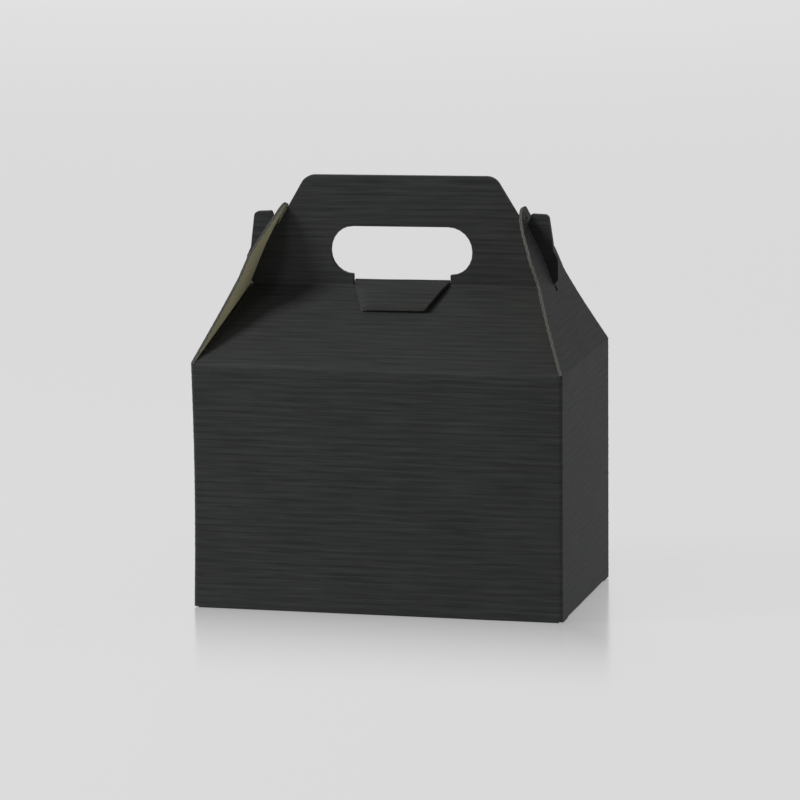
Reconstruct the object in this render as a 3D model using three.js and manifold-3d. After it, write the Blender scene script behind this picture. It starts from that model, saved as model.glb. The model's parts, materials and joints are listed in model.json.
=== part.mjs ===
// Gable box of black washboard corrugated board: a glued, self-locking carton whose roof panels
// rise into a two-ply carrying handle. The handle's hooked ears stand through slots in the two
// end flaps, and a lock tab folded out of the back ply's hand hole holds the plies together.
// Millimetres, +Z up, +Y to the back. The origin is the middle of the base, on the table.
import * as THREE from "three";
import { mergeVertices } from "three/addons/utils/BufferGeometryUtils.js";
import Module from "manifold-3d";

// Body
const boxLength = 203.2;
const boxDepth = 123.8;
const wallHeight = 133.4;
const board = 1.5;
const foldRadius = 0.5;
const foldClear = 0.3;
const cornerClear = 2.6;

// Roof and handle
const roofRise = 36.3;
const handleHeight = 59.5;
const plyGap = 0.4;
const handleTopHalf = 52.2;
const handleTopRadius = 7.5;

// Hand hole in both plies of the handle
const holeHalfLength = 39.0;
const holeHalfHeight = 13.05;
const holeAboveCrease = 18.8;
const notchHalfWidth = 27.0;

// End flaps, measured up the flap from its fold
const flapLean = THREE.MathUtils.degToRad(24.6);
const flapInset = 0.6;
const flapWaist = 47.0;
const flapWaistHalf = 31.0;
const flapShoulder = 60.0;
const flapShoulderHalf = 29.5;
const flapTip = 87.4;
const flapTipHalf = 5.9;
const flapTipRadius = 10.0;
const flapCornerRadius = 6.0;
const slotStart = 39.0;
const slotEnd = 82.0;
const slotSideClear = 0.4;
const slotEndClear = 0.6;
const slotCornerRadius = 0.8;

// Hooked ears at the sides of the handle, measured up from the crease under it
const neckNotch = 75.0;
const neckNotchRadius = 0.8;
const earTop = 39.6;
const earTopWidth = 9.2;
const earTopDrop = 1.2;
const earCornerRadius = 2.7;
const earWaist = 19.6;
const earWaistFlare = 2.6;
const earHeel = 15.0;
const earFoot = 4.2;
const earFootRadius = 1.3;
const earOverhang = 5.2;

// Lock tab
const tabLength = 27.0;
const tabSideClear = 0.8;
const tabTipHalf = 17.8;
const tabTipRadius = 2.5;
const tabFoldRadius = 0.05;
const tabRootLeg = 0.2;

// Locking base: front panel with its tongue, side panels over it, slotted back panel on top
const baseCornerRadius = 6.0;
const frontBaseReach = 66.0;
const frontBaseRelief = 5.5;
const tongueHalf = 30.0;
const tongueTipHalf = 24.0;
const tongueReach = 16.0;
const sideBaseReach = 60.0;
const sideBaseTipHalf = 34.0;
const sideRamp = 5.0;
const backBaseReach = 74.0;
const backBaseTipHalf = 88.0;
const backRamp = 10.0;
const tongueSlotClear = 0.5;

// Glued seam at the back left corner
const glueWidth = 28.0;
const glueBevel = 9.0;
const glueEndClear = 4.0;
const glueBond = 0.05;
const rawEdgeSetback = 0.6;

const arcStep = THREE.MathUtils.degToRad(9);
const beyond = 5.0;
const mergeDistance = 1e-4;

const halfLength = boxLength / 2;
const halfDepth = boxDepth / 2;
const creaseZ = wallHeight + roofRise;
const handleTop = creaseZ + handleHeight;
const plyFace = plyGap / 2 + board;
const foldOutside = foldRadius + board;
const roofAngle = Math.atan2(roofRise, halfDepth - plyFace);
const roofMitre = board * Math.tan((Math.PI / 2 - roofAngle) / 2);
const baseStep = board + foldClear;
const rampStart = foldOutside + board;
const cornerHalf = halfLength - cornerClear;

// The lock tab's outer face leaves the back ply straight up and turns forward down the roof.
const tabTurn = Math.PI / 2 + roofAngle;
const tabCornerZ = creaseZ + 2 * plyFace * Math.tan(roofAngle) + (foldClear + board) / Math.cos(roofAngle);
const tabRootZ = tabCornerZ - (tabFoldRadius + board) * Math.tan(tabTurn / 2) - tabRootLeg;

// The side base panels stop short of the back base panel's ramp. The tongue climbs at 45 degrees
// from the front base panel's free edge, through the back base panel's slot.
const sideBaseHalf = halfDepth - rampStart - backRamp - foldClear;
const tongueStart = -halfDepth + frontBaseReach;

const wasm = await Module();
wasm.setup();

// A closed mesh as a solid, once only its positions are left and equal corners are merged.
function solidOf(geometry) {
  const bare = new THREE.BufferGeometry();
  bare.setAttribute("position", geometry.getAttribute("position"));
  const merged = mergeVertices(bare, mergeDistance);
  return new wasm.Manifold(
    new wasm.Mesh({
      numProp: 3,
      vertProperties: merged.attributes.position.array,
      triVerts: new Uint32Array(merged.index.array),
    }),
  );
}

// A finished solid's triangles as a geometry with flat faces.
function geometryOf(solid) {
  const mesh = solid.getMesh();
  const shared = new THREE.BufferGeometry();
  shared.setAttribute("position", new THREE.BufferAttribute(new Float32Array(mesh.vertProperties), 3));
  shared.setIndex(new THREE.BufferAttribute(new Uint32Array(mesh.triVerts), 1));
  const flat = shared.toNonIndexed();
  flat.computeVertexNormals();
  return flat;
}

function arc(centre, radius, from, to) {
  const steps = Math.max(2, Math.ceil(Math.abs(to - from) / arcStep));
  return Array.from({ length: steps + 1 }, (_, i) => {
    const angle = from + ((to - from) * i) / steps;
    return new THREE.Vector2(centre.x + radius * Math.cos(angle), centre.y + radius * Math.sin(angle));
  });
}

// A corner of an outline as an arc that is tangent to both of its sides.
function roundedCorner(before, corner, after, radius) {
  const toBefore = before.clone().sub(corner).normalize();
  const toAfter = after.clone().sub(corner).normalize();
  const opening = Math.acos(toBefore.dot(toAfter));
  const setback = radius / Math.tan(opening / 2);
  const middle = toBefore.clone().add(toAfter).normalize();
  const centre = corner.clone().addScaledVector(middle, radius / Math.sin(opening / 2));
  const from = corner.clone().addScaledVector(toBefore, setback).sub(centre).angle();
  const to = corner.clone().addScaledVector(toAfter, setback).sub(centre).angle();
  const sweep = to - from - 2 * Math.PI * Math.round((to - from) / (2 * Math.PI));
  return arc(centre, radius, from, from + sweep);
}

// An outline from its corners, each [x, y] or, where it is rounded, [x, y, radius].
function outline(corners) {
  const sharp = corners.map(([x, y]) => new THREE.Vector2(x, y));
  const count = corners.length;
  const points = corners.flatMap(([, , radius], i) => {
    if (!radius) return [sharp[i]];
    return roundedCorner(sharp[(i + count - 1) % count], sharp[i], sharp[(i + 1) % count], radius);
  });
  return new THREE.Shape(points);
}

// An outline that is the same on both sides of x = 0, from the corners of its right half.
function mirroredOutline(rightHalf) {
  const leftHalf = rightHalf.map(([x, y, radius]) => [-x, y, radius]).reverse();
  return outline([...rightHalf, ...leftHalf]);
}

// The section of a board that is folded along a line of points. The line runs on the board's
// right-hand face, the board lies to its left, and every fold is round on both faces.
function foldedSection(line) {
  const points = line.map(([x, y]) => new THREE.Vector2(x, y));
  const last = points.length - 1;
  const directions = points.slice(1).map((next, i) => next.clone().sub(points[i]).normalize());
  const normals = directions.map((direction) => new THREE.Vector2(-direction.y, direction.x));
  const near = [];
  const far = [];
  points.forEach((here, i) => {
    const before = normals[Math.max(i - 1, 0)];
    const after = normals[Math.min(i, last - 1)];
    const mitre = before.clone().add(after).normalize();
    const there = here.clone().addScaledVector(mitre, board / mitre.dot(before));
    const turn = i > 0 && i < last ? directions[i - 1].cross(directions[i]) : 0;
    const inner = line[i][2] ?? foldRadius;
    near.push([here.x, here.y, turn && (turn < 0 ? inner : inner + board)]);
    far.push([there.x, there.y, turn && (turn > 0 ? inner : inner + board)]);
  });
  return outline([...near, ...far.reverse()]);
}

// Solids of an outline pushed along one axis. Seen along X an outline's axes are Y and Z,
// along Y they are X and Z, and along Z they are X and Y.
function pushed(shape, low, high) {
  const geometry = new THREE.ExtrudeGeometry(shape, { depth: high - low, bevelEnabled: false });
  return geometry.translate(0, 0, low);
}

const alongZ = (shape, low, high) => solidOf(pushed(shape, low, high));

function alongX(shape, low, high) {
  const turn = new THREE.Matrix4().makeBasis(
    new THREE.Vector3(0, 1, 0),
    new THREE.Vector3(0, 0, 1),
    new THREE.Vector3(1, 0, 0),
  );
  return solidOf(pushed(shape, low, high).applyMatrix4(turn));
}

function alongY(shape, low, high) {
  return solidOf(pushed(shape, -high, -low).rotateX(Math.PI / 2));
}

const halfTurn = (solid) => solid.rotate([0, 0, 180]);

// A place in the plane of the handle: so far up the right end flap from its fold, and so deep
// under the flap's outer face.
function onFlap(reach, depth) {
  return [
    halfLength - reach * Math.sin(flapLean) - depth * Math.cos(flapLean),
    wallHeight + reach * Math.cos(flapLean) - depth * Math.sin(flapLean),
  ];
}

// How far out a roof panel may reach at a height, just clear of the end flap's inner face.
function insideFlap(z) {
  return halfLength - (z - wallHeight) * Math.tan(flapLean) - (board + foldClear) / Math.cos(flapLean);
}

// Front view of a roof panel and its handle ply. The panel's edges lie along the end flaps, the
// ears hook out through the slots, a notch takes each flap's tip, and the neck narrows upwards.
function plyOutline() {
  const earTopZ = creaseZ + earTop;
  const earInner = halfLength - Math.sqrt((slotEnd - slotEndClear) ** 2 - (earTopZ - wallHeight) ** 2);
  const earOuter = earInner + earTopWidth;
  const footX = insideFlap(creaseZ + earFoot) + earOverhang;
  return mirroredOutline([
    [cornerHalf, wallHeight - 2 * foldOutside],
    [cornerHalf, wallHeight],
    [insideFlap(wallHeight), wallHeight],
    [insideFlap(creaseZ), creaseZ],
    [footX, creaseZ + earFoot, earFootRadius],
    [footX, creaseZ + earHeel, earCornerRadius],
    [earOuter + earWaistFlare, creaseZ + earWaist, earCornerRadius],
    [earOuter, earTopZ - earTopDrop, earCornerRadius],
    [earInner, earTopZ, neckNotchRadius],
    [...onFlap(neckNotch, board), neckNotchRadius],
    [handleTopHalf, handleTop, handleTopRadius],
  ]);
}

// The hand hole is long with round ends, and the lock tab's notch runs down from it.
function handHole(notchBottom) {
  const z = creaseZ + holeAboveCrease;
  const reach = holeHalfLength - holeHalfHeight;
  const long = new THREE.Shape([
    ...arc(new THREE.Vector2(reach, z), holeHalfHeight, -Math.PI / 2, Math.PI / 2),
    ...arc(new THREE.Vector2(-reach, z), holeHalfHeight, Math.PI / 2, (3 * Math.PI) / 2),
  ]);
  const notch = mirroredOutline([
    [notchHalfWidth, notchBottom],
    [notchHalfWidth, z],
  ]);
  return alongY(long, -halfDepth, halfDepth).add(alongY(notch, -halfDepth, halfDepth));
}

// Roof panel and handle ply of the front, with the upper end of the wall they are folded from.
function upperSheet(notchBottom) {
  const section = foldedSection([
    [-halfDepth + board, wallHeight - 2 * foldOutside],
    [-halfDepth + board, wallHeight - roofMitre],
    [-plyGap / 2, creaseZ - roofMitre],
    [-plyGap / 2, handleTop],
  ]);
  const sheet = alongX(section, -halfLength, halfLength);
  return sheet.intersect(alongY(plyOutline(), -halfDepth - beyond, 0)).subtract(handHole(notchBottom));
}

// The four walls run round from the back wall's raw edge to the middle of the left wall.
function wallRing() {
  const section = foldedSection([
    [-halfLength + rawEdgeSetback, halfDepth - board],
    [halfLength - board, halfDepth - board],
    [halfLength - board, -halfDepth + board],
    [-halfLength + board, -halfDepth + board],
    [-halfLength + board, 0],
  ]);
  return alongZ(section, 0, wallHeight);
}

// The rest of the left wall, with the flap that is glued inside the back wall.
function gluedEnd() {
  const section = foldedSection([
    [-halfLength + board, -board],
    [-halfLength + board, halfDepth - 2 * board + glueBond],
    [-halfLength + board + glueWidth, halfDepth - 2 * board + glueBond],
  ]);
  const trim = outline([
    [-halfLength - beyond, 0],
    [-halfLength + foldOutside, 0],
    [-halfLength + foldOutside, glueEndClear],
    [-halfLength + board + glueWidth, glueEndClear + glueBevel],
    [-halfLength + board + glueWidth, wallHeight - glueEndClear - glueBevel],
    [-halfLength + foldOutside, wallHeight - glueEndClear],
    [-halfLength + foldOutside, wallHeight],
    [-halfLength - beyond, wallHeight],
  ]);
  return alongZ(section, 0, wallHeight).intersect(alongY(trim, -halfDepth, halfDepth + beyond));
}

// Where the walls end and the folds of the roof and base panels begin.
function foldOpenings() {
  const foldBand = 1.5 * foldOutside;
  const frontBaseFold = mirroredOutline([
    [cornerHalf, -beyond],
    [cornerHalf, foldBand],
  ]);
  const roofFold = mirroredOutline([
    [cornerHalf, wallHeight - foldBand],
    [cornerHalf, wallHeight + beyond],
  ]);
  const sideBaseFold = mirroredOutline([
    [sideBaseHalf, -beyond],
    [sideBaseHalf, foldBand],
  ]);
  const acrossDepth = [frontBaseFold, roofFold].map((shape) => alongY(shape, -boxDepth, boxDepth));
  return acrossDepth[0].add(acrossDepth[1]).add(alongX(sideBaseFold, -boxLength, boxLength));
}

// The walls' corners end in the same round edges as the panels' folds.
function walls() {
  const ridge = halfDepth * Math.tan(roofAngle);
  const endView = mirroredOutline([
    [halfDepth, 0, foldOutside],
    [halfDepth, wallHeight, foldOutside],
    [0.5 * halfDepth, wallHeight + 0.5 * ridge],
  ]);
  const frontView = mirroredOutline([
    [halfLength, 0, foldOutside],
    [halfLength, wallHeight],
  ]);
  const bounds = alongX(endView, -halfLength - beyond, halfLength + beyond);
  const ring = wallRing().add(gluedEnd()).subtract(foldOpenings());
  return ring.intersect(bounds).intersect(alongY(frontView, -halfDepth - beyond, halfDepth + beyond));
}

// Lowest panel of the base, folded from the front wall. Its tongue climbs through the slot.
function frontBase() {
  const lift = 3 * baseStep;
  const section = foldedSection([
    [tongueStart + lift + tongueReach, board + lift],
    [tongueStart + lift, board + lift],
    [tongueStart, board],
    [-halfDepth + board, board],
    [-halfDepth + board, 2 * foldOutside],
  ]);
  const clearHalf = halfLength - rampStart - sideRamp - foldClear;
  const plan = mirroredOutline([
    [cornerHalf, -halfDepth - beyond],
    [cornerHalf, -halfDepth + rampStart],
    [clearHalf, -halfDepth + rampStart + frontBaseRelief],
    [clearHalf, tongueStart - foldRadius, baseCornerRadius],
    [tongueHalf, tongueStart - foldRadius],
    [tongueTipHalf, tongueStart + lift + tongueReach, baseCornerRadius],
  ]);
  return alongX(section, -halfLength, halfLength).intersect(alongZ(plan, -beyond, halfDepth));
}

// Side panels of the base lie one board above the front panel.
function leftBase() {
  const section = foldedSection([
    [-halfLength + sideBaseReach, board + baseStep],
    [-halfLength + rampStart + sideRamp, board + baseStep],
    [-halfLength + rampStart, board],
    [-halfLength + board, board],
    [-halfLength + board, 2 * foldOutside],
  ]);
  const plan = outline([
    [-halfLength - beyond, -sideBaseHalf],
    [-halfLength + rampStart, -sideBaseHalf],
    [-halfLength + sideBaseReach, -sideBaseTipHalf, baseCornerRadius],
    [-halfLength + sideBaseReach, sideBaseTipHalf, baseCornerRadius],
    [-halfLength + rampStart, sideBaseHalf],
    [-halfLength - beyond, sideBaseHalf],
  ]);
  return alongY(section, -halfDepth, halfDepth).intersect(alongZ(plan, -beyond, halfDepth));
}

// Uppermost panel of the base, drawn at the front and turned to the back wall, with the slot.
function backBase() {
  const lift = 2 * baseStep;
  const section = foldedSection([
    [-halfDepth + backBaseReach, board + lift],
    [-halfDepth + rampStart + backRamp, board + lift],
    [-halfDepth + rampStart, board],
    [-halfDepth + board, board],
    [-halfDepth + board, 2 * foldOutside],
  ]);
  const plan = mirroredOutline([
    [cornerHalf, -halfDepth - beyond],
    [cornerHalf, -halfDepth + rampStart],
    [backBaseTipHalf, -halfDepth + backBaseReach, baseCornerRadius],
  ]);
  const panel = alongX(section, -halfLength, halfLength).intersect(alongZ(plan, -beyond, halfDepth));
  const slotNear = tongueStart + lift - board - tongueSlotClear;
  const slotFar = tongueStart + lift + board * Math.SQRT2 + tongueSlotClear;
  const slot = mirroredOutline([
    [tongueHalf + tongueSlotClear, slotNear],
    [tongueHalf + tongueSlotClear, slotFar],
  ]);
  return halfTurn(panel).subtract(alongZ(slot, 0, beyond + lift));
}

function carton() {
  const pieces = [
    walls(),
    upperSheet(creaseZ),
    halfTurn(upperSheet(tabRootZ - foldClear)),
    frontBase(),
    leftBase(),
    halfTurn(leftBase()),
    backBase(),
  ];
  return pieces.reduce((sum, piece) => sum.add(piece));
}

// An end flap stands on its own fold line, its outer face at x = 0, before it leans inwards.
function endFlap() {
  const heel = (depth) => (foldClear + depth * Math.sin(flapLean)) / Math.cos(flapLean);
  const section = outline([
    [0, heel(0)],
    [0, flapTip],
    [-board, flapTip],
    [-board, heel(board)],
  ]);
  const face = mirroredOutline([
    [halfDepth - flapInset, 0],
    [flapWaistHalf, flapWaist, flapCornerRadius],
    [flapShoulderHalf, flapShoulder, flapCornerRadius],
    [flapTipHalf, flapTip, flapTipRadius],
  ]);
  const slotHalf = plyFace + slotSideClear;
  const slot = mirroredOutline([
    [slotHalf, slotStart, slotCornerRadius],
    [slotHalf, slotEnd, slotCornerRadius],
  ]);
  const sheet = alongY(section, -halfDepth, halfDepth).intersect(alongX(face, -beyond, beyond));
  return sheet.subtract(alongX(slot, -beyond, beyond));
}

// The lock tab leaves the back ply's hole, and lies on the roof in front of the handle.
function lockTab() {
  const tipY = plyFace - tabLength * Math.cos(roofAngle);
  const section = foldedSection([
    [plyFace, tabRootZ],
    [plyFace, tabCornerZ, tabFoldRadius],
    [tipY, tabCornerZ - tabLength * Math.sin(roofAngle)],
  ]);
  const rootHalf = notchHalfWidth - tabSideClear;
  const plan = mirroredOutline([
    [tabTipHalf, tipY, tabTipRadius],
    [rootHalf, -plyFace],
    [rootHalf, beyond],
  ]);
  return alongX(section, -halfLength, halfLength).intersect(alongZ(plan, 0, handleTop));
}

const blackBoard = { color: 0x2f3130, roughness: 0.78, metalness: 0.0 };

function node(name, solid) {
  const mesh = new THREE.Mesh(geometryOf(solid), new THREE.MeshStandardMaterial(blackBoard));
  mesh.name = name;
  return mesh;
}

const group = new THREE.Group();
group.add(node("carton", carton()));
group.add(node("handle_lock_tab", lockTab()));

const flapEnds = [
  ["right_end_flap", halfLength, 0],
  ["left_end_flap", -halfLength, Math.PI],
];
for (const [name, x, turn] of flapEnds) {
  const foldLine = new THREE.Group();
  foldLine.position.set(x, 0, wallHeight);
  foldLine.rotation.z = turn;
  const flap = node(name, endFlap());
  flap.rotation.y = -flapLean;
  foldLine.add(flap);
  group.add(foldLine);
}

export default group;
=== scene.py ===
# Gable box of black washboard corrugated board, closed, with its two-ply carrying handle up.
# Metres, +Z up, +Y to the back; the origin is the middle of the base, on the table.
import json
import math

import bmesh
import bpy
from mathutils import Matrix, Vector, noise


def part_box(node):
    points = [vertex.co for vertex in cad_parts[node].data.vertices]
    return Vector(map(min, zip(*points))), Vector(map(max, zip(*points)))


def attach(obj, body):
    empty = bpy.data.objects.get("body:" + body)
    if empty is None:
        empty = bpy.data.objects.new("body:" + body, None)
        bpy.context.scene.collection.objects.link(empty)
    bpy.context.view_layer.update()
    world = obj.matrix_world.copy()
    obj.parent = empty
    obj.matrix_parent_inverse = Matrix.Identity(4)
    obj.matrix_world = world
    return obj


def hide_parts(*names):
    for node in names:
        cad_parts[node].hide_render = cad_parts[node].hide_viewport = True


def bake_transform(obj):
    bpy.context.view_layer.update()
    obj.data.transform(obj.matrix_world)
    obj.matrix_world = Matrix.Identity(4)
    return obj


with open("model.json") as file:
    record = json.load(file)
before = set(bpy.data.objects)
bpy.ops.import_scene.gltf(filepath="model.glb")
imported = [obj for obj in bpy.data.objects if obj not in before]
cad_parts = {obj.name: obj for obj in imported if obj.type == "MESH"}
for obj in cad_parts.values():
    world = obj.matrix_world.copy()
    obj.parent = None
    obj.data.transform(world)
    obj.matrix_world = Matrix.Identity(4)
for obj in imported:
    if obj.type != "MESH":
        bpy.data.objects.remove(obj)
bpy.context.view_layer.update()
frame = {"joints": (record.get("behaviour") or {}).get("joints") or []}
mm = 0.001

# The view: a long lens, a little to the right of the box's front and a little above it, aimed
# at the middle of the box.
view_azimuth = math.radians(13.8053)
view_elevation = math.radians(10.0741)
view_roll = math.radians(-0.4551)
view_distance = 2922 * mm
view_target = Vector((-1.38 * mm, 0, 106.44 * mm))
view_lens = 242.6

towards_camera = Vector(
    (
        math.sin(view_azimuth) * math.cos(view_elevation),
        -math.cos(view_azimuth) * math.cos(view_elevation),
        math.sin(view_elevation),
    )
)
camera_right = Vector((math.cos(view_azimuth), math.sin(view_azimuth), 0))
camera_axes = Matrix((camera_right, towards_camera.cross(camera_right), towards_camera)).transposed()
camera_data = bpy.data.cameras.new("camera")
camera_data.lens = view_lens
camera_data.clip_end = 60
camera = bpy.data.objects.new("camera", camera_data)
camera.matrix_world = (
    Matrix.Translation(view_target + towards_camera * view_distance)
    @ camera_axes.to_4x4()
    @ Matrix.Rotation(view_roll, 4, "Z")
)
bpy.context.scene.collection.objects.link(camera)
bpy.context.scene.camera = camera

# The board: E-flute corrugated board, two liners glued to a wavy medium. Its printed liner is
# matt black and sags between the flutes, which gives it its fine washboard lines, whose light and
# shade is also painted into its colour; the inner liner is plain pale kraft, and every die-cut
# edge shows the medium between the two, with painted shade in the flutes' hollows.
board = 1.5 * mm
flute_pitch = 3.9 * mm
washboard_depth = 0.1 * mm
relief_lost_inside = 0.75
weld = 0.005 * mm
corner_steps = 6
rows_per_flute = 6
printed, inside, cut = range(3)


class Signal:
    """One socket of a material's nodes. Arithmetic on signals adds Math nodes."""

    def __init__(self, tree, socket):
        self.tree = tree
        self.socket = socket

    def node(self, kind, settings, sockets, output=0):
        """A new node: first its settings, then the values or links of its sockets."""
        made = self.tree.nodes.new(kind)
        for name, value in settings.items():
            setattr(made, name, value)
        for name, value in sockets.items():
            if isinstance(value, Signal):
                self.tree.links.new(value.socket, made.inputs[name])
            else:
                made.inputs[name].default_value = value
        return Signal(self.tree, made.outputs[output] if made.outputs else None)

    def maths(self, operation, first, second=0.0):
        return self.node("ShaderNodeMath", {"operation": operation}, {0: first, 1: second})

    def __abs__(self):
        return self.maths("ABSOLUTE", self)

    def __add__(self, other):
        return self.maths("ADD", self, other)

    def __mul__(self, other):
        return self.maths("MULTIPLY", self, other)

    def __sub__(self, other):
        return self.maths("SUBTRACT", self, other)

    def __rsub__(self, other):
        return self.maths("SUBTRACT", other, self)

    __radd__ = __add__
    __rmul__ = __mul__

    def wave(self):
        return self.maths("SINE", self)

    def clipped(self, low, high):
        """0 below low, 1 above high, and a straight ramp between them."""
        sockets = {"Value": self, "From Min": low, "From Max": high}
        return self.node("ShaderNodeMapRange", {"clamp": True}, sockets)

    def shade(self, dark, light):
        """A colour from dark to light as the signal goes from 0 to 1."""
        sockets = {0: self, 6: (*dark, 1), 7: (*light, 1)}
        settings = {"data_type": "RGBA", "clamp_factor": True}
        return self.node("ShaderNodeMix", settings, sockets, output=2)


def flat_place(tree):
    """Where a point was on the flat blank: along the flutes, across them, and its depth."""
    start = Signal(tree, None)
    return start.node("ShaderNodeAttribute", {"attribute_name": "blank"}, {}, output="Vector")


def streaks(place, along, across, detail=2.0):
    """Noise from -0.5 to 0.5, with so many spots to the metre along and across the flutes."""
    sockets = {"Location": (0, 0, 0), "Scale": (along, across, along)}
    stretched = place.node("ShaderNodeMapping", {"vector_type": "POINT"}, {"Vector": place, **sockets})
    return place.node("ShaderNodeTexNoise", {}, {"Vector": stretched, "Scale": 1.0, "Detail": detail}) - 0.5


def paper(name, colour, height, roughness, specular):
    """A paper surface from colour and height, which are made from the place on the blank."""
    material = bpy.data.materials.new(name)
    material.use_nodes = True
    tree = material.node_tree
    shader = tree.nodes["Principled BSDF"]
    place = flat_place(tree)
    relief = place.node("ShaderNodeBump", {}, {"Height": height(place), "Distance": 1.0, "Strength": 1.0})
    tree.links.new(colour(place).socket, shader.inputs["Base Color"])
    tree.links.new(relief.socket, shader.inputs["Normal"])
    tree.links.new((streaks(place, 900, 900) * 0.2 + roughness).socket, shader.inputs["Roughness"])
    shader.inputs["Specular IOR Level"].default_value = specular
    return material


def axis_of(place, axis):
    return place.node("ShaderNodeSeparateXYZ", {}, {"Vector": place}, output=axis)


def flute_wave(place):
    """-1 in the sags and 1 on the flute tips, wandering a little from line to line."""
    wander = streaks(place, 34, 110) * 5.0
    return (axis_of(place, "Y") * (2 * math.pi / flute_pitch) + wander).wave()


def printed_colour_and_shade(place):
    # Painted washboard light and shade: lines make the colour lighter on the flute tips and darker in the
    # sags, and dashes paint light and dark streaks along the flutes.
    lines = flute_wave(place) * 0.08
    dashes = streaks(place, 34, 900, 3.0) * 1.2
    clouds = streaks(place, 26, 30) * 0.3
    grain = streaks(place, 5200, 5200) * 0.18
    return (lines + dashes + clouds + grain + 0.5).shade(printed_dark, printed_light)


def printed_height(place):
    dashes = streaks(place, 36, 900, 3.0) * (0.12 * mm)
    fibres = streaks(place, 2400, 4800) * (0.012 * mm)
    return dashes + fibres


def inside_colour(place):
    lines = flute_wave(place) * 0.06
    fibres = streaks(place, 700, 2600, 4.0) * 0.8
    clouds = streaks(place, 40, 40) * 0.3
    return (lines + fibres + clouds + 0.5).shade(inside_dark, inside_light)


def inside_height(place):
    return streaks(place, 1800, 3800, 3.0) * (0.02 * mm) + flute_wave(place) * (0.01 * mm)


def medium(place):
    """1 on the two liners and on the wavy medium between them, 0 in the flutes' hollows."""
    level = axis_of(place, "Z") * (-1 / board)
    crest = (axis_of(place, "Y") * (2 * math.pi / flute_pitch)).wave() * 0.33 + 0.5
    hollow = abs(level - crest).clipped(0.1, 0.2)
    return 1 - hollow * abs(level - 0.5).clipped(0.4, 0.34)


def cut_colour(place):
    # Painted shade: the flutes' hollows on the cut edge are painted dark, as the shade inside the open
    # flutes, against the lighter liners and medium.
    fibres = streaks(place, 1500, 3200, 3.0) * 0.5
    return (medium(place) * 0.7 + fibres + 0.2).shade(cut_hollow_shade, cut_light)


def cut_height(place):
    return medium(place) * (0.05 * mm) + streaks(place, 3000, 3000, 3.0) * (0.03 * mm)


printed_dark = (0.0115, 0.0125, 0.0120)
printed_light = (0.0420, 0.0445, 0.0430)
inside_dark = (0.250, 0.236, 0.142)
inside_light = (0.500, 0.475, 0.300)
cut_hollow_shade = (0.045, 0.044, 0.040)
cut_light = (0.120, 0.117, 0.106)
board_papers = [
    paper("printed_liner", printed_colour_and_shade, printed_height, 0.62, 0.12),
    paper("inner_liner", inside_colour, inside_height, 0.80, 0.12),
    paper("cut_edge", cut_colour, cut_height, 0.90, 0.10),
]


class Fold:
    """The board's outer face in section. Each corner is (x, y) or, where folded, (x, y, radius)."""

    def __init__(self, corners, zero=0):
        self.corners = [Vector(corner[:2]) for corner in corners]
        self.radii = [corner[2] if len(corner) > 2 else 0 for corner in corners]
        marks = [0]
        for here, there in zip(self.corners, self.corners[1:]):
            marks.append(marks[-1] + (there - here).length)
        self.marks = [mark - marks[zero] for mark in marks]
        self.ways = [(b - a).normalized() for a, b in zip(self.corners, self.corners[1:])]

    def turn(self, corner):
        return self.ways[corner].angle_signed(self.ways[corner - 1])

    def setback(self, corner):
        return self.radii[corner] * math.tan(abs(self.turn(corner)) / 2)

    def folded_corners(self):
        return [i for i in range(1, len(self.corners) - 1) if self.radii[i]]

    def cuts(self, steps=6):
        """Where the blank is cut into rows, so that each fold comes out round."""
        places = []
        for i in self.folded_corners():
            reach = self.setback(i)
            places += [self.marks[i] + reach * (2 * k / steps - 1) for k in range(steps + 1)]
        return places

    def at(self, s):
        """Point and outward normal so far along the face."""
        for i in self.folded_corners():
            reach = self.setback(i)
            if abs(s - self.marks[i]) < reach:
                way = self.ways[i - 1]
                side = math.copysign(1, self.turn(i))
                hub = Vector((-way.y, way.x)) * side
                centre = self.corners[i] - way * reach + hub * self.radii[i]
                spin = Matrix.Rotation(self.turn(i) * (s - self.marks[i] + reach) / (2 * reach), 2)
                outward = spin @ Vector((way.y, -way.x))
                return centre + outward * (self.radii[i] * side), outward
        leg = sum(mark < s for mark in self.marks[1:-1])
        way = self.ways[leg]
        return self.corners[leg] + way * (s - self.marks[leg]), Vector((way.y, -way.x))


def cut_outline(sheet, half_outline, centre=0.0):
    """Die-cuts a panel from the outline of its right half, and places its middle at centre."""
    before = set(sheet.verts)
    corners = [sheet.verts.new((x, y, 0)) for x, y, *_ in half_outline]
    sheet.faces.new(corners)
    count = len(corners)
    places = [corner.co.copy() for corner in corners]
    for i, (_, _, *radius) in enumerate(half_outline):
        if radius:
            back = places[i - 1] - places[i]
            ahead = places[(i + 1) % count] - places[i]
            setback = radius[0] / math.tan(back.angle(ahead) / 2)
            bmesh.ops.bevel(
                sheet,
                geom=[corners[i]],
                offset=setback,
                segments=corner_steps,
                profile=0.5,
                affect="VERTICES",
                material=-1,
            )
    half = [vert for vert in sheet.verts if vert not in before]
    faces = dict.fromkeys(face for vert in half for face in vert.link_faces)
    edges = dict.fromkeys(edge for vert in half for edge in vert.link_edges)
    bmesh.ops.mirror(sheet, geom=[*half, *edges, *faces], merge_dist=weld, axis="X")
    whole = [vert for vert in sheet.verts if vert not in before]
    bmesh.ops.translate(sheet, verts=whole, vec=(centre, 0, 0))


def cut_strip(sheet, corners):
    sheet.faces.new([sheet.verts.new((x, y, 0)) for x, y in corners])


def spread(low, high, step, kept):
    """Places from low to high about a step apart, with the kept places among them."""
    count = round((high - low) / step)
    regular = [low + (high - low) * k / count for k in range(1, count)]
    clear = [place for place in regular if all(abs(place - other) > step / 2 for other in kept)]
    return sorted([*clear, *kept])


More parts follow.
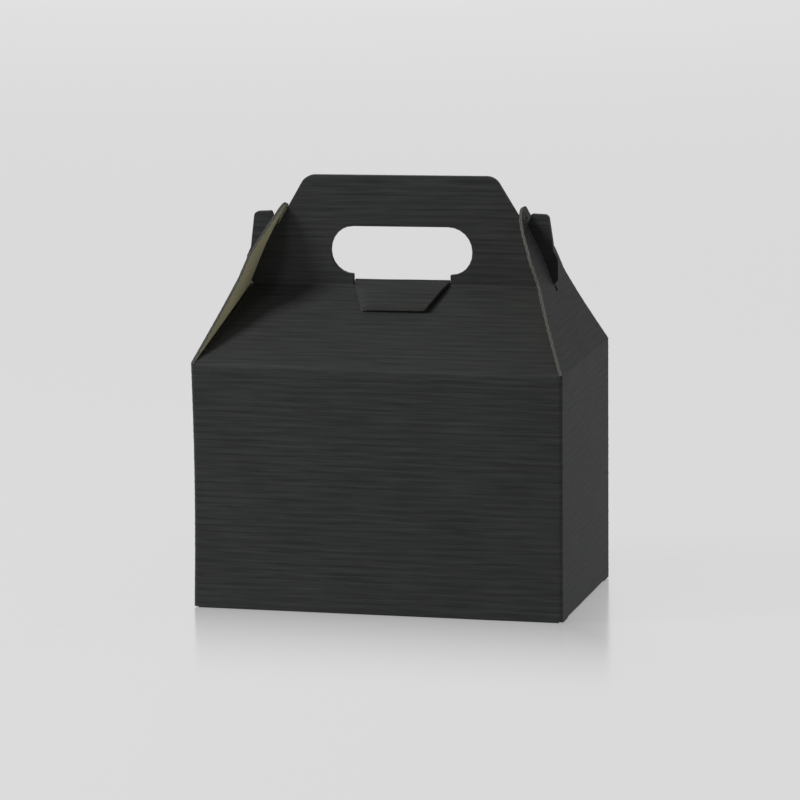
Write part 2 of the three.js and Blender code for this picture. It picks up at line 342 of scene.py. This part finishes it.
def score(sheet, columns, rows):
    """Divides the flat sheet along and across the flutes."""
    lines = [((0, y, 0), (0, 1, 0)) for y in rows] + [((x, 0, 0), (1, 0, 0)) for x in columns]
    for place, way in lines:
        geom = [*sheet.verts, *sheet.edges, *sheet.faces]
        bmesh.ops.bisect_plane(sheet, geom=geom, dist=weld, plane_co=place, plane_no=way)
    bmesh.ops.remove_doubles(sheet, verts=sheet.verts, dist=weld)


def thicken(sheet):
    """Gives the flat sheet the board's thickness, its papers and its sharp die-cut edges."""
    shell = bmesh.ops.extrude_face_region(sheet, geom=sheet.faces[:], use_keep_orig=True)
    inner = [item for item in shell["geom"] if isinstance(item, bmesh.types.BMVert)]
    bmesh.ops.translate(sheet, verts=inner, vec=(0, 0, -board))
    bmesh.ops.recalc_face_normals(sheet, faces=sheet.faces[:])
    by_place = sorted(sheet.faces, key=lambda face: face.calc_center_median().to_tuple())
    ranks = {face: rank for rank, face in enumerate(by_place)}
    sheet.faces.sort(key=ranks.get)
    for face in sheet.faces:
        face.smooth = True
        face.material_index = cut if abs(face.normal.z) < 0.5 else printed if face.normal.z > 0 else inside
    for edge in sheet.edges:
        edge.smooth = edge.calc_face_angle(0) < math.radians(30)


def washboard(along, across):
    """How far the printed liner stands over its sags at a place on the blank."""
    wander = 0.5 * noise.noise(Vector((along / (38 * mm), across / (11 * mm), 3.7)))
    wave = 0.5 + 0.5 * math.cos(2 * math.pi * (across / flute_pitch + wander))
    strength = 0.65 + 1.1 * noise.noise(Vector((along / (19 * mm), across / (4.3 * mm), 9.1)))
    return washboard_depth * min(1.0, strength) * wave


def fold_up(name, sheet, section, settle):
    """Folds the flat sheet by section, which gives a place on the blank its point and normal."""
    flat = sheet.verts.layers.float_vector.new("blank")
    for vert in sheet.verts:
        along, across, depth = vert.co
        vert[flat] = vert.co
        point, outward = section(along, across)
        stand = washboard(along, across) * (1 + relief_lost_inside * depth / board) - washboard_depth
        vert.co = settle(point + outward * (depth + stand), outward, across)
    mesh = bpy.data.meshes.new(name)
    sheet.to_mesh(mesh)
    sheet.free()
    for material in board_papers:
        mesh.materials.append(material)
    piece = bpy.data.objects.new(name, mesh)
    bpy.context.scene.collection.objects.link(piece)
    return piece


# The carton: one die-cut blank with the four walls side by side, a glue flap, a base panel under
# each wall, and above the front and back walls a roof panel that carries a handle ply. It is
# glued at the back left corner and folded; the base panels lock into each other.
low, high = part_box("carton")
half_length = high.x
half_depth = high.y
handle_top = high.z
hinges = {joint["name"]: Vector(joint["pos_m"]) for joint in frame["joints"]}
wall_height = hinges["right_flap_fold"].z
ply_face = hinges["lock_tab_fold"].y
notch_bottom = hinges["lock_tab_fold"].z

fold_radius = 2.0 * mm
inner_fold_radius = 0.5 * mm
roof_fold_radius = 6.0 * mm
clear = 0.3 * mm
slit = 0.3 * mm
post_slit = 0.08 * mm
corner_clear = 2.6 * mm
band = 4.0 * mm
roof_rise = 36.3 * mm
crease_height = wall_height + roof_rise
roof_slope = math.atan2(roof_rise, half_depth - ply_face)
flap_lean = math.radians(24.6)
handle_roll = math.radians(0.8)
handle_shift = 0.6 * mm
wall_belly = 0.5 * mm
corner_nip = 1.0 * mm
nip_length = 28 * mm
nip_depth = 45 * mm

ramp_start = 3.5 * mm
side_ramp = 5.0 * mm
back_ramp = 10.0 * mm
base_lift = 1.8 * mm
post_clear = 0.6 * mm
front_reach = 66.0 * mm
side_reach = 60.0 * mm
back_reach = 74.0 * mm
tongue_reach = 16.0 * mm
tongue_half = 30.0 * mm
tongue_tip_half = 24.0 * mm
tongue_slot_clear = 0.5 * mm
base_corner = 6.0 * mm
base_relief = 5.5 * mm
side_tip_half = 34.0 * mm
back_tip_half = 88.0 * mm
glue_width = 29.5 * mm
glue_tuck = 1.55 * mm
glue_end_clear = 4.0 * mm
glue_bevel = 9.0 * mm
raw_edge_setback = 0.6 * mm

strip_half = half_length - corner_clear
flap_strip_half = half_depth - corner_clear
side_base_half = half_depth - ramp_start - back_ramp - clear
right_middle = half_length + half_depth
back_middle = 2 * right_middle
raw_edge = back_middle + half_length - raw_edge_setback
glue_corner = -half_length - 2 * half_depth + glue_tuck
front_corner_on_plan = -half_length

roof_corners = [
    (half_depth, wall_height, roof_fold_radius),
    (ply_face, crease_height, inner_fold_radius),
    (ply_face, handle_top),
]
flap_corners = [
    (half_length, wall_height, fold_radius),
    (half_length - math.tan(flap_lean) * wall_height, 2 * wall_height),
]


def base_corners(half, reach, ramp, lift):
    """A base panel in section, from its free edge to the wall that it is folded from."""
    return [
        (half - reach, lift),
        (half - ramp_start - ramp, lift, inner_fold_radius),
        (half - ramp_start, 0, fold_radius),
        (half, 0, fold_radius),
    ]


tongue_lift = 3 * base_lift
front_base = [
    (half_depth - front_reach - tongue_lift - tongue_reach, tongue_lift),
    (half_depth - front_reach - tongue_lift, tongue_lift, inner_fold_radius),
    (half_depth - front_reach, 0, fold_radius),
    (half_depth, 0, fold_radius),
]
side_base = base_corners(half_length, side_reach, side_ramp, base_lift)
back_base = base_corners(half_depth, back_reach, back_ramp, 2 * base_lift)
front_section = Fold([*front_base, *roof_corners], zero=3)
side_section = Fold([*side_base, *flap_corners], zero=3)
back_section = Fold([*back_base, *roof_corners], zero=3)
plan = Fold(
    [
        (-half_length + glue_width, half_depth - glue_tuck),
        (-half_length, half_depth - glue_tuck, fold_radius),
        (-half_length, -half_depth, fold_radius),
        (half_length, -half_depth, fold_radius),
        (half_length, half_depth, fold_radius),
        (-half_length + raw_edge_setback, half_depth),
    ],
    zero=2,
)


class Panel:
    """A wall with what folds from it: its middle on the blank and the way it faces."""

    def __init__(self, middle, half, facing, section, base_half, top_half):
        self.middle = middle
        self.half = half
        self.facing = Vector((*facing, 0))
        self.along = Vector((-facing[1], facing[0], 0))
        self.section = section
        self.base_half = base_half
        self.top_half = top_half

    def at(self, along, across):
        (out, up), (face_out, face_up) = self.section.at(across)
        point = self.along * (along - self.middle) + self.facing * out
        return point + Vector((0, 0, up)), self.facing * face_out + Vector((0, 0, face_up))


left = Panel(-right_middle, half_depth, (-1, 0), side_section, side_base_half, flap_strip_half)
front = Panel(0, half_length, (0, -1), front_section, strip_half, strip_half)
right = Panel(right_middle, half_depth, (1, 0), side_section, side_base_half, flap_strip_half)
back = Panel(back_middle, half_length, (0, 1), back_section, strip_half, strip_half)
panels = [left, front, right, back]


def carton_section(along, across):
    """Panels fold up and down from the walls; the walls' corners follow the folds beside them."""
    panel = next((p for p in panels if abs(along - p.middle) < p.half + weld), left)
    folded_half = panel.base_half if across < band else panel.top_half
    in_folds = across < band + weld or across > wall_height - band - weld
    if in_folds and abs(along - panel.middle) < folded_half + weld:
        return panel.at(along, across)
    (x, y), (face_x, face_y) = plan.at(along - front_corner_on_plan)
    (out, up), (face_out, face_up) = front_section.at(across)
    tuck = abs(face_y) if y < half_depth - fold_radius or along > 0 else 0
    y -= math.copysign(half_depth - out, y) * tuck
    height = across + (up - across) * tuck
    outward = Vector((face_x, face_y * (1 + (face_out - 1) * tuck), face_up * tuck))
    return Vector((x, y, height)), outward.normalized()


def settled(point, outward, across):
    """What packing and handling did: the walls belly a little, and the handle leans a little."""
    x, y, z = point
    level = max(0.0, min(1.0, z / wall_height))
    belly = math.sin(math.pi * level)
    y += math.copysign(wall_belly, y) * math.cos(math.pi * x / (2 * half_length)) * belly
    nip = math.exp(-(((x + half_length) / nip_length) ** 2 + ((y + half_depth) / nip_depth) ** 2))
    x += corner_nip * nip * belly
    lift = max(0.0, min(1.0, (z - wall_height) / roof_rise))
    roll = handle_roll * lift * lift * (3 - 2 * lift)
    return Vector((x + roll * (crease_height - z) + handle_shift * lift, y, z + roll * x))


hole_half_length = 39.3 * mm
hole_half_height = 13.05 * mm
hole_above_crease = 18.8 * mm
notch_half = 27.0 * mm
handle_top_half = 52.2 * mm
handle_top_corner = 7.5 * mm
ear_foot = 4.2 * mm
ear_heel = 15.0 * mm
ear_waist = 19.6 * mm
ear_top = 39.6 * mm
ear_top_drop = 0.4 * mm
ear_top_width = 9.2 * mm
ear_flare = 2.6 * mm
ear_overhang = 5.2 * mm
ear_corner = 2.7 * mm
foot_corner = 1.3 * mm
notch_corner = 0.8 * mm
slot_reach = 81.4 * mm
neck_notch = 75.0 * mm


def inside_flap(z):
    """How far out a roof panel reaches at a height, just clear of the end flap's inner face."""
    return half_length - (z - wall_height) * math.tan(flap_lean) - (board + clear) / math.cos(flap_lean)


def upper_outline(bottom_of_notch):
    """Half of a roof panel and its handle ply, with the hooked ear and half of the hand hole."""
    crease = front_section.marks[5]
    top = crease + handle_top - crease_height
    hole = crease + hole_above_crease
    foot_x = inside_flap(crease_height + ear_foot) + ear_overhang
    ear_rise = crease_height + ear_top - wall_height
    ear_inner = half_length - math.sqrt(slot_reach**2 - ear_rise**2)
    ear_outer = ear_inner + ear_top_width
    neck_x = half_length - neck_notch * math.sin(flap_lean) - board * math.cos(flap_lean)
    neck_z = wall_height + neck_notch * math.cos(flap_lean) - board * math.sin(flap_lean)
    return [
        (0, wall_height - band),
        (strip_half, wall_height - band),
        (strip_half, wall_height + slit),
        (inside_flap(wall_height), wall_height + slit),
        (inside_flap(crease_height), crease),
        (foot_x, crease + ear_foot, foot_corner),
        (foot_x, crease + ear_heel, ear_corner),
        (ear_outer + ear_flare, crease + ear_waist, ear_corner),
        (ear_outer, crease + ear_top - ear_top_drop, ear_corner),
        (ear_inner, crease + ear_top, notch_corner),
        (neck_x, crease + neck_z - crease_height, notch_corner),
        (handle_top_half, top, handle_top_corner),
        (0, top),
        (0, hole + hole_half_height),
        (hole_half_length, hole + hole_half_height, hole_half_height),
        (hole_half_length, hole - hole_half_height, hole_half_length - notch_half),
        (notch_half, hole - hole_half_height),
        (notch_half, crease + bottom_of_notch - crease_height),
        (0, crease + bottom_of_notch - crease_height),
    ]


ramp_stretch = math.hypot(tongue_lift, tongue_lift)
relief_half = half_length - ramp_start - side_ramp - clear
front_base_outline = [
    (0, -front_reach - ramp_stretch - tongue_reach),
    (tongue_tip_half, -front_reach - ramp_stretch - tongue_reach, base_corner),
    (tongue_half, -front_reach),
    (relief_half, -front_reach, base_corner),
    (relief_half, -ramp_start - base_relief),
    (strip_half, -ramp_start),
    (strip_half, band),
    (0, band),
]
side_base_outline = [
    (0, -side_reach),
    (side_tip_half, -side_reach, base_corner),
    (side_base_half, -ramp_start),
    (side_base_half, band),
    (0, band),
]
tongue_middle = front_reach + 2.35 * base_lift
slot_middle = 2 * half_depth - tongue_middle
slot_half_width = 2.3 * mm
back_base_outline = [
    (0, -back_reach),
    (back_tip_half, -back_reach, base_corner),
    (strip_half, -ramp_start),
    (strip_half, band),
    (0, band),
    (0, -slot_middle + slot_half_width),
    (tongue_half + tongue_slot_clear, -slot_middle + slot_half_width),
    (tongue_half + tongue_slot_clear, -slot_middle - slot_half_width),
    (0, -slot_middle - slot_half_width),
]

blank = bmesh.new()
cut_outline(blank, upper_outline(crease_height))
cut_outline(blank, upper_outline(notch_bottom), back.middle)
cut_outline(blank, front_base_outline)
cut_outline(blank, side_base_outline, left.middle)
cut_outline(blank, side_base_outline, right.middle)
cut_outline(blank, back_base_outline, back.middle)

glue_edge = glue_corner - fold_radius
glue_free_edge = glue_corner - glue_width
wall_low, wall_high = band, wall_height - band
walls = [(glue_edge, wall_low), (raw_edge, wall_low), (raw_edge, wall_high), (glue_edge, wall_high)]
cut_strip(blank, walls)
cut_strip(
    blank,
    [
        (glue_free_edge, glue_end_clear + glue_bevel),
        (glue_edge, glue_end_clear),
        (glue_edge, wall_height - glue_end_clear),
        (glue_free_edge, wall_height - glue_end_clear - glue_bevel),
    ],
)


def cut_posts(bottom, top, halves):
    """The walls' corners beside the folds, up to the slits that free the folds from them."""
    edges = [glue_edge]
    for panel, half in zip(panels, halves):
        edges += [panel.middle - half - post_slit, panel.middle + half + post_slit]
    edges.append(raw_edge)
    for start, end in zip(edges[::2], edges[1::2]):
        cut_strip(blank, [(start, bottom), (end, bottom), (end, top), (start, top)])
    return edges


post_columns = cut_posts(post_clear, wall_low, [panel.base_half for panel in panels])
post_columns += cut_posts(wall_high, wall_height, [panel.top_half for panel in panels])

fold_rows = sorted({*front_section.cuts(), *back_section.cuts(), *side_section.cuts()})
base_row_step = 4 * mm
column_step = 8 * mm
base_end = front_reach + 24 * mm
fixed_rows = [wall_low, wall_high, glue_end_clear, wall_height - glue_end_clear]
top_row = front_section.marks[-1]
base_rows = [row for row in fold_rows if row < -band]
upper_rows = [row for row in fold_rows if row >= -band] + fixed_rows
rows = spread(-base_end, -band, base_row_step, base_rows)
rows += spread(-band, top_row, flute_pitch / rows_per_flute, upper_rows)
strip_columns = []
for panel in panels:
    for half in (panel.base_half, panel.top_half):
        strip_columns += [panel.middle - half, panel.middle + half]
corner_columns = [cut_place + front_corner_on_plan for cut_place in plan.cuts()]
kept_columns = sorted({*corner_columns, *strip_columns, *post_columns})
columns = spread(glue_free_edge, raw_edge, column_step, kept_columns)
score(blank, columns, rows)
thicken(blank)
carton = fold_up("carton_board", blank, carton_section, settled)
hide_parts("carton")
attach(carton, "box")

# The end flaps fold up from the side walls and lean on the roof's edges. The handle's hooked
# ears stand out through a slot in each flap; once they are folded in, the flap swings open.
flap_inset = 0.6 * mm
flap_waist = 47.0 * mm
flap_waist_half = 31.0 * mm
flap_shoulder = 60.0 * mm
flap_shoulder_half = 29.5 * mm
flap_tip = 87.4 * mm
flap_tip_half = 5.9 * mm
flap_tip_corner = 10.0 * mm
flap_corner = 6.0 * mm
slot_start = 39.0 * mm
slot_end = 82.0 * mm
slot_clear = 0.4 * mm
slot_half = ply_face + slot_clear
flap_step_low = 0.2 * mm
flap_step_high = 0.4 * mm
flap_column_step = 6 * mm
tip_start = 0.8
flap_root_half = half_depth - flap_inset

flap_outline = [
    (0, wall_height - band),
    (flap_strip_half, wall_height - band),
    (flap_strip_half, wall_height - flap_step_low),
    (flap_root_half, wall_height + flap_step_high),
    (flap_waist_half, wall_height + flap_waist, flap_corner),
    (flap_shoulder_half, wall_height + flap_shoulder, flap_corner),
    (flap_tip_half, wall_height + flap_tip, flap_tip_corner),
    (0, wall_height + flap_tip),
    (0, wall_height + slot_end),
    (slot_half, wall_height + slot_end, notch_corner),
    (slot_half, wall_height + slot_start, notch_corner),
    (0, wall_height + slot_start),
]


def end_flap(name, panel, node, bow, tip_lift):
    sheet = bmesh.new()
    cut_outline(sheet, flap_outline, panel.middle)
    flap_rows = [r for r in side_section.cuts() if r > wall_height - band]
    flap_top = wall_height + flap_tip
    score(
        sheet,
        spread(panel.middle - flap_root_half, panel.middle + flap_root_half, flap_column_step, []),
        spread(wall_height - band, flap_top, flute_pitch / rows_per_flute, flap_rows),
    )
    thicken(sheet)

    def leaning(point, outward, across):
        reach = max(0.0, across - wall_height) / flap_tip
        lift = max(0.0, (reach - tip_start) / (1 - tip_start))
        return point + outward * (bow * math.sin(math.pi * reach * reach) ** 2 + tip_lift * lift * lift)

    flap = fold_up(name, sheet, panel.at, leaning)
    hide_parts(node)
    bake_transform(flap)
    return flap


end_flap("right_flap_board", right, "right_end_flap", 1.8 * mm, 3.0 * mm)
end_flap("left_flap_board", left, "left_end_flap", 1.0 * mm, 0.0)

# The lock tab is cut out of the back ply's hand hole and stays on it by one fold. Pushed through
# the front ply's hole and folded down over the front roof, it holds the two plies together.
tab_length = 28.0 * mm
tab_tip_half = 17.8 * mm
tab_tip_corner = 2.5 * mm
tab_fold_radius = 1.55 * mm
tab_clear = 0.8 * mm
tab_root_half = notch_half - tab_clear
tab_column_step = 3 * mm
tab_curl_width = 5 * mm
tab_stand = 1.2 * mm
tab_turn_height = (
    crease_height + 2 * ply_face * math.tan(roof_slope) + (clear + board) / math.cos(roof_slope)
)
tab_section = Fold(
    [
        (ply_face, notch_bottom),
        (ply_face, tab_turn_height, tab_fold_radius),
        (ply_face - tab_length * math.cos(roof_slope), tab_turn_height - tab_length * math.sin(roof_slope)),
    ]
)
tab_panel = Panel(0, notch_half, (0, 1), tab_section, 0, 0)
tab_fold = tab_section.marks[1]
tab_over = tab_fold + 2 * ply_face / math.cos(roof_slope)
tab_outline = [
    (0, 0),
    (tab_root_half, 0),
    (tab_root_half, tab_over),
    (tab_tip_half, tab_fold + tab_length, tab_tip_corner),
    (0, tab_fold + tab_length),
]
tab_sheet = bmesh.new()
cut_outline(tab_sheet, tab_outline)
tab_rows = spread(0, tab_fold + tab_length, flute_pitch / rows_per_flute, tab_section.cuts(8))
score(tab_sheet, spread(-tab_root_half, tab_root_half, tab_column_step, []), tab_rows)
thicken(tab_sheet)


def tab_settled(point, outward, across):
    """The tab stands a little off the roof, and its left edge curls back down to it."""
    down = max(0.0, (across - tab_over) / (tab_fold + tab_length - tab_over))
    edge_half = tab_root_half - (tab_root_half - tab_tip_half) * down
    curl = max(0.0, 1 - (point.x + edge_half) / tab_curl_width)
    lift = tab_stand * (1 - curl * curl) * min(1.0, 3 * down)
    return point + outward * lift + Vector((handle_shift, 0, handle_roll * point.x))


tab = fold_up("lock_tab_board", tab_sheet, tab_panel.at, tab_settled)
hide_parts("handle_lock_tab")
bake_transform(tab)

# The studio: a pale table and surround in one grey, with a sheen that mirrors the box close to it,
# a softbox to the left above the front, and weaker lights farther off: on the right, where it
# catches the side wall and the inside of the left flap, before the front and behind the back.
backdrop_grey = 0.693
pale = (backdrop_grey, backdrop_grey, backdrop_grey, 1)
white = (1, 1, 1, 1)
sheen_reach = 176 * mm
sheen_share = 0.46
matt_share = 0.06
table_glow = 1.035
room_light = 0.10
table_size = 30
table = bmesh.new()
bmesh.ops.create_grid(table, x_segments=2, y_segments=2, size=table_size)
table_mesh = bpy.data.meshes.new("table")
table.to_mesh(table_mesh)
table.free()
table_top = bpy.data.objects.new("table", table_mesh)
bpy.context.scene.collection.objects.link(table_top)


def seen_directly(signal):
    """1 where the camera, a reflection or a clear body looks, 0 for the light on the object."""
    kinds = ["Is Camera Ray", "Is Glossy Ray", "Is Transmission Ray"]
    rays = [signal.node("ShaderNodeLightPath", {}, {}, output=kind) for kind in kinds]
    return rays[0] + rays[1] + rays[2]


table_paper = bpy.data.materials.new("table_paper")
table_paper.use_nodes = True
table_tree = table_paper.node_tree
table_tree.nodes.clear()
paint = Signal(table_tree, None)
matt = paint.node("ShaderNodeBsdfDiffuse", {}, {"Color": pale})
gloss = paint.node("ShaderNodeBsdfGlossy", {}, {"Color": white, "Roughness": 0.15})
glow = paint.node("ShaderNodeEmission", {}, {"Color": pale, "Strength": table_glow})
spot = paint.node("ShaderNodeTexCoord", {}, {}, output="Object")
beside = abs(axis_of(spot, "X")) - half_length
before = abs(axis_of(spot, "Y")) - half_depth
near = paint.maths("MAXIMUM", beside, before).clipped(sheen_reach, 0.0)
sheen = paint.node("ShaderNodeMixShader", {}, {0: near * near * sheen_share, 1: glow, 2: gloss})
seen = paint.node("ShaderNodeMixShader", {}, {0: matt_share, 1: sheen, 2: matt})
face = paint.node("ShaderNodeMixShader", {}, {0: seen_directly(paint), 1: matt, 2: seen})
paint.node("ShaderNodeOutputMaterial", {}, {"Surface": face})
table_mesh.materials.append(table_paper)

surround = bpy.data.worlds.new("surround")
surround.use_nodes = True
surround_tree = surround.node_tree
surround_tree.nodes.clear()
air = Signal(surround_tree, None)
room = air.node("ShaderNodeBackground", {}, {"Color": white, "Strength": room_light})
card = air.node("ShaderNodeBackground", {}, {"Color": pale, "Strength": 1.0})
sky = air.node("ShaderNodeMixShader", {}, {0: seen_directly(air), 1: room, 2: card})
air.node("ShaderNodeOutputWorld", {}, {"Surface": sky})
bpy.context.scene.world = surround
bpy.context.scene.view_settings.view_transform = "Standard"


def softbox(name, place, size, power, mirrored):
    """A square lamp aimed at the box. Only a mirrored one shows in glossy surfaces."""
    lamp = bpy.data.lights.new(name, "AREA")
    lamp.size = size
    lamp.energy = power
    light = bpy.data.objects.new(name, lamp)
    aim = view_target - Vector(place)
    light.matrix_world = Matrix.Translation(place) @ aim.to_track_quat("-Z", "Y").to_matrix().to_4x4()
    light.visible_camera = False
    light.visible_glossy = mirrored
    bpy.context.scene.collection.objects.link(light)


softbox("key_softbox", (-1.04, -0.60, 1.15), 0.45, 20.5, True)
softbox("side_light", (3.4, -0.5, 0.40), 0.6, 28, False)
softbox("front_fill", (-1.8, -3.7, 0.8), 0.8, 38, False)
softbox("back_light", (-1.2, 4.0, 1.3), 0.8, 80, False)
